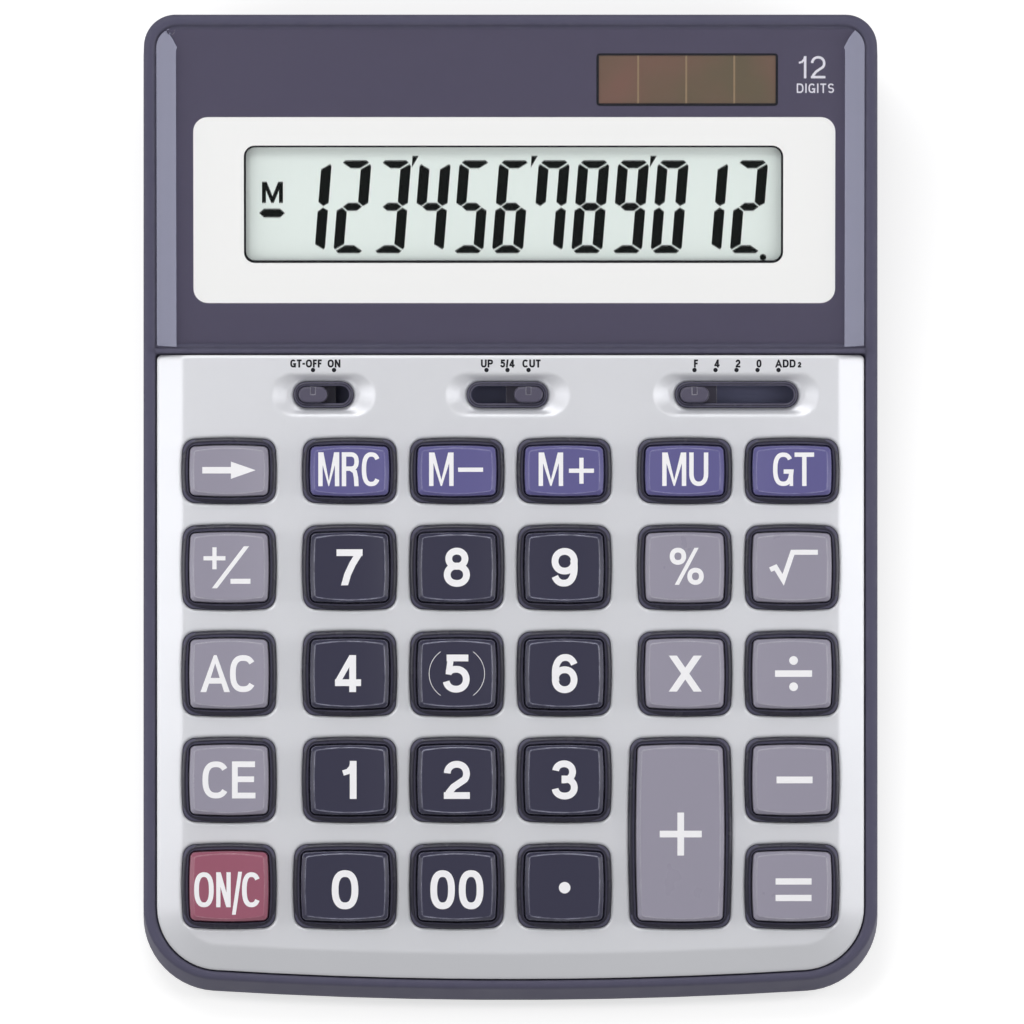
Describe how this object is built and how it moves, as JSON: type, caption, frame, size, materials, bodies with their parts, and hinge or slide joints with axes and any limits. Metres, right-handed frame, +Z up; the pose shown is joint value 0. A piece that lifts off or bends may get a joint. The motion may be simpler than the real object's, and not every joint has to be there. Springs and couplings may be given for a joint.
{
  "type": "desktop calculator",
  "caption": "Wedge-shaped solar and battery desktop calculator: metal keyboard deck with domed keys and slide switches, raised display panel, sliding battery door.",
  "frame": {"origin": "centre of the footprint on the table, under the middle of the case", "axes": "+X to the user's right, +Y from the user's edge towards the display end, +Z up from the table; a unit of the row is one metre"},
  "size_m": [0.147, 0.1944, 0.0442],
  "materials": {
    "case_plastic": "moulded dark violet-grey ABS, lightly textured",
    "base_plastic": "moulded dark grey ABS, lightly textured",
    "face_metal": "pressed aluminium sheet, fine brushed, clear anodised",
    "lens_clear": "clear moulded window, polished",
    "mask_print": "dark violet print with a white border",
    "lcd_glass": "liquid-crystal glass with grey-green reflector",
    "holder_plastic": "moulded off-white ABS",
    "ribbon_film": "heat-seal carbon track film",
    "board_laminate": "phenolic board with green solder resist",
    "chip_resin": "black resin",
    "component_body": "black and blue component bodies",
    "keypad_rubber": "grey silicone rubber",
    "digit_key": "moulded dark violet-grey, satin gloss",
    "function_key": "moulded warm grey, satin gloss",
    "memory_key": "moulded violet-blue, satin gloss",
    "clear_key": "moulded dusky red, satin gloss",
    "knob_plastic": "moulded black-violet, satin",
    "contact_metal": "nickel-plated spring steel",
    "solar_glass": "amorphous silicon on glass, olive brown",
    "wire_red": "red insulated lead",
    "wire_grey": "dark insulated lead",
    "screw_steel": "zinc-plated steel, cross recess",
    "foot_rubber": "black rubber",
    "cell_jacket": "plain printed jacket on steel can"
  },
  "bodies": {
    "housing": {"upper_case": "case_plastic", "lower_case": "base_plastic", "face_plate": "face_metal", "display_lens": "lens_clear", "display_mask": "mask_print", "lcd_panel": "lcd_glass", "lcd_holder": "holder_plastic", "lcd_ribbon": "ribbon_film", "circuit_board": "board_laminate", "chip_blob": "chip_resin", "circuit_components": "component_body", "rubber_keypad": "keypad_rubber", "solar_cell": "solar_glass", "solar_wires": "wire_red", "battery_wires": "wire_grey", "case_screws": "screw_steel", "board_screws": "screw_steel", "rubber_feet": "foot_rubber", "aa_cell": "cell_jacket", "battery_spring": "contact_metal", "battery_contacts": "contact_metal"},
    "key_all_clear_body": {"key_all_clear": "function_key"},
    "key_backspace_body": {"key_backspace": "function_key"},
    "key_clear_entry_body": {"key_clear_entry": "function_key"},
    "key_decimal_point_body": {"key_decimal_point": "digit_key"},
    "key_divide_body": {"key_divide": "function_key"},
    "key_double_zero_body": {"key_double_zero": "digit_key"},
    "key_eight_body": {"key_eight": "digit_key"},
    "key_equals_body": {"key_equals": "function_key"},
    "key_five_body": {"key_five": "digit_key"},
    "key_four_body": {"key_four": "digit_key"},
    "key_grand_total_body": {"key_grand_total": "memory_key"},
    "key_mark_up_body": {"key_mark_up": "memory_key"},
    "key_memory_minus_body": {"key_memory_minus": "memory_key"},
    "key_memory_plus_body": {"key_memory_plus": "memory_key"},
    "key_memory_recall_body": {"key_memory_recall": "memory_key"},
    "key_minus_body": {"key_minus": "function_key"},
    "key_multiply_body": {"key_multiply": "function_key"},
    "key_nine_body": {"key_nine": "digit_key"},
    "key_on_clear_body": {"key_on_clear": "clear_key"},
    "key_one_body": {"key_one": "digit_key"},
    "key_percent_body": {"key_percent": "function_key"},
    "key_plus_body": {"key_plus": "function_key"},
    "key_seven_body": {"key_seven": "digit_key"},
    "key_sign_change_body": {"key_sign_change": "function_key"},
    "key_six_body": {"key_six": "digit_key"},
    "key_square_root_body": {"key_square_root": "function_key"},
    "key_three_body": {"key_three": "digit_key"},
    "key_two_body": {"key_two": "digit_key"},
    "key_zero_body": {"key_zero": "digit_key"},
    "grand_total_switch": {"grand_total_switch_knob": "knob_plastic", "grand_total_switch_wiper": "contact_metal"},
    "rounding_switch": {"rounding_switch_knob": "knob_plastic", "rounding_switch_wiper": "contact_metal"},
    "decimal_switch": {"decimal_switch_knob": "knob_plastic", "decimal_switch_wiper": "contact_metal"},
    "door": {"battery_door": "base_plastic"}
  },
  "joints": [
    {"name": "key_all_clear_press", "type": "slide", "parent": "housing", "child": "key_all_clear_body", "axis": [0, 0.1045, -0.9945], "range_m": [0, 0.0018], "stiffness_N_per_m": 300, "springref_m": -0.001, "deforming": ["rubber_keypad"]},
    {"name": "key_backspace_press", "type": "slide", "parent": "housing", "child": "key_backspace_body", "axis": [0, 0.1045, -0.9945], "range_m": [0, 0.0018], "stiffness_N_per_m": 300, "springref_m": -0.001, "deforming": ["rubber_keypad"]},
    {"name": "key_clear_entry_press", "type": "slide", "parent": "housing", "child": "key_clear_entry_body", "axis": [0, 0.1045, -0.9945], "range_m": [0, 0.0018], "stiffness_N_per_m": 300, "springref_m": -0.001, "deforming": ["rubber_keypad"]},
    {"name": "key_decimal_point_press", "type": "slide", "parent": "housing", "child": "key_decimal_point_body", "axis": [0, 0.1045, -0.9945], "range_m": [0, 0.0018], "stiffness_N_per_m": 300, "springref_m": -0.001, "deforming": ["rubber_keypad"]},
    {"name": "key_divide_press", "type": "slide", "parent": "housing", "child": "key_divide_body", "axis": [0, 0.1045, -0.9945], "range_m": [0, 0.0018], "stiffness_N_per_m": 300, "springref_m": -0.001, "deforming": ["rubber_keypad"]},
    {"name": "key_double_zero_press", "type": "slide", "parent": "housing", "child": "key_double_zero_body", "axis": [0, 0.1045, -0.9945], "range_m": [0, 0.0018], "stiffness_N_per_m": 300, "springref_m": -0.001, "deforming": ["rubber_keypad"]},
    {"name": "key_eight_press", "type": "slide", "parent": "housing", "child": "key_eight_body", "axis": [0, 0.1045, -0.9945], "range_m": [0, 0.0018], "stiffness_N_per_m": 300, "springref_m": -0.001, "deforming": ["rubber_keypad"]},
    {"name": "key_equals_press", "type": "slide", "parent": "housing", "child": "key_equals_body", "axis": [0, 0.1045, -0.9945], "range_m": [0, 0.0018], "stiffness_N_per_m": 300, "springref_m": -0.001, "deforming": ["rubber_keypad"]},
    {"name": "key_five_press", "type": "slide", "parent": "housing", "child": "key_five_body", "axis": [0, 0.1045, -0.9945], "range_m": [0, 0.0018], "stiffness_N_per_m": 300, "springref_m": -0.001, "deforming": ["rubber_keypad"]},
    {"name": "key_four_press", "type": "slide", "parent": "housing", "child": "key_four_body", "axis": [0, 0.1045, -0.9945], "range_m": [0, 0.0018], "stiffness_N_per_m": 300, "springref_m": -0.001, "deforming": ["rubber_keypad"]},
    {"name": "key_grand_total_press", "type": "slide", "parent": "housing", "child": "key_grand_total_body", "axis": [0, 0.1045, -0.9945], "range_m": [0, 0.0018], "stiffness_N_per_m": 300, "springref_m": -0.001, "deforming": ["rubber_keypad"]},
    {"name": "key_mark_up_press", "type": "slide", "parent": "housing", "child": "key_mark_up_body", "axis": [0, 0.1045, -0.9945], "range_m": [0, 0.0018], "stiffness_N_per_m": 300, "springref_m": -0.001, "deforming": ["rubber_keypad"]},
    {"name": "key_memory_minus_press", "type": "slide", "parent": "housing", "child": "key_memory_minus_body", "axis": [0, 0.1045, -0.9945], "range_m": [0, 0.0018], "stiffness_N_per_m": 300, "springref_m": -0.001, "deforming": ["rubber_keypad"]},
    {"name": "key_memory_plus_press", "type": "slide", "parent": "housing", "child": "key_memory_plus_body", "axis": [0, 0.1045, -0.9945], "range_m": [0, 0.0018], "stiffness_N_per_m": 300, "springref_m": -0.001, "deforming": ["rubber_keypad"]},
    {"name": "key_memory_recall_press", "type": "slide", "parent": "housing", "child": "key_memory_recall_body", "axis": [0, 0.1045, -0.9945], "range_m": [0, 0.0018], "stiffness_N_per_m": 300, "springref_m": -0.001, "deforming": ["rubber_keypad"]},
    {"name": "key_minus_press", "type": "slide", "parent": "housing", "child": "key_minus_body", "axis": [0, 0.1045, -0.9945], "range_m": [0, 0.0018], "stiffness_N_per_m": 300, "springref_m": -0.001, "deforming": ["rubber_keypad"]},
    {"name": "key_multiply_press", "type": "slide", "parent": "housing", "child": "key_multiply_body", "axis": [0, 0.1045, -0.9945], "range_m": [0, 0.0018], "stiffness_N_per_m": 300, "springref_m": -0.001, "deforming": ["rubber_keypad"]},
    {"name": "key_nine_press", "type": "slide", "parent": "housing", "child": "key_nine_body", "axis": [0, 0.1045, -0.9945], "range_m": [0, 0.0018], "stiffness_N_per_m": 300, "springref_m": -0.001, "deforming": ["rubber_keypad"]},
    {"name": "key_on_clear_press", "type": "slide", "parent": "housing", "child": "key_on_clear_body", "axis": [0, 0.1045, -0.9945], "range_m": [0, 0.0018], "stiffness_N_per_m": 300, "springref_m": -0.001, "deforming": ["rubber_keypad"]},
    {"name": "key_one_press", "type": "slide", "parent": "housing", "child": "key_one_body", "axis": [0, 0.1045, -0.9945], "range_m": [0, 0.0018], "stiffness_N_per_m": 300, "springref_m": -0.001, "deforming": ["rubber_keypad"]},
    {"name": "key_percent_press", "type": "slide", "parent": "housing", "child": "key_percent_body", "axis": [0, 0.1045, -0.9945], "range_m": [0, 0.0018], "stiffness_N_per_m": 300, "springref_m": -0.001, "deforming": ["rubber_keypad"]},
    {"name": "key_plus_press", "type": "slide", "parent": "housing", "child": "key_plus_body", "axis": [0, 0.1045, -0.9945], "range_m": [0, 0.0018], "stiffness_N_per_m": 300, "springref_m": -0.001, "deforming": ["rubber_keypad"]},
    {"name": "key_seven_press", "type": "slide", "parent": "housing", "child": "key_seven_body", "axis": [0, 0.1045, -0.9945], "range_m": [0, 0.0018], "stiffness_N_per_m": 300, "springref_m": -0.001, "deforming": ["rubber_keypad"]},
    {"name": "key_sign_change_press", "type": "slide", "parent": "housing", "child": "key_sign_change_body", "axis": [0, 0.1045, -0.9945], "range_m": [0, 0.0018], "stiffness_N_per_m": 300, "springref_m": -0.001, "deforming": ["rubber_keypad"]},
    {"name": "key_six_press", "type": "slide", "parent": "housing", "child": "key_six_body", "axis": [0, 0.1045, -0.9945], "range_m": [0, 0.0018], "stiffness_N_per_m": 300, "springref_m": -0.001, "deforming": ["rubber_keypad"]},
    {"name": "key_square_root_press", "type": "slide", "parent": "housing", "child": "key_square_root_body", "axis": [0, 0.1045, -0.9945], "range_m": [0, 0.0018], "stiffness_N_per_m": 300, "springref_m": -0.001, "deforming": ["rubber_keypad"]},
    {"name": "key_three_press", "type": "slide", "parent": "housing", "child": "key_three_body", "axis": [0, 0.1045, -0.9945], "range_m": [0, 0.0018], "stiffness_N_per_m": 300, "springref_m": -0.001, "deforming": ["rubber_keypad"]},
    {"name": "key_two_press", "type": "slide", "parent": "housing", "child": "key_two_body", "axis": [0, 0.1045, -0.9945], "range_m": [0, 0.0018], "stiffness_N_per_m": 300, "springref_m": -0.001, "deforming": ["rubber_keypad"]},
    {"name": "key_zero_press", "type": "slide", "parent": "housing", "child": "key_zero_body", "axis": [0, 0.1045, -0.9945], "range_m": [0, 0.0018], "stiffness_N_per_m": 300, "springref_m": -0.001, "deforming": ["rubber_keypad"]},
    {"name": "grand_total_slide", "type": "slide", "parent": "housing", "child": "grand_total_switch", "axis": [1, 0, 0], "range_m": [0, 0.0042]},
    {"name": "rounding_slide", "type": "slide", "parent": "housing", "child": "rounding_switch", "axis": [1, 0, 0], "range_m": [-0.0084, 0]},
    {"name": "decimal_slide", "type": "slide", "parent": "housing", "child": "decimal_switch", "axis": [1, 0, 0], "range_m": [0, 0.0168]},
    {"name": "battery_door_slide", "type": "slide", "parent": "housing", "child": "door", "axis": [0, 1, 0], "range_m": [0, 0.03]}
  ]
}
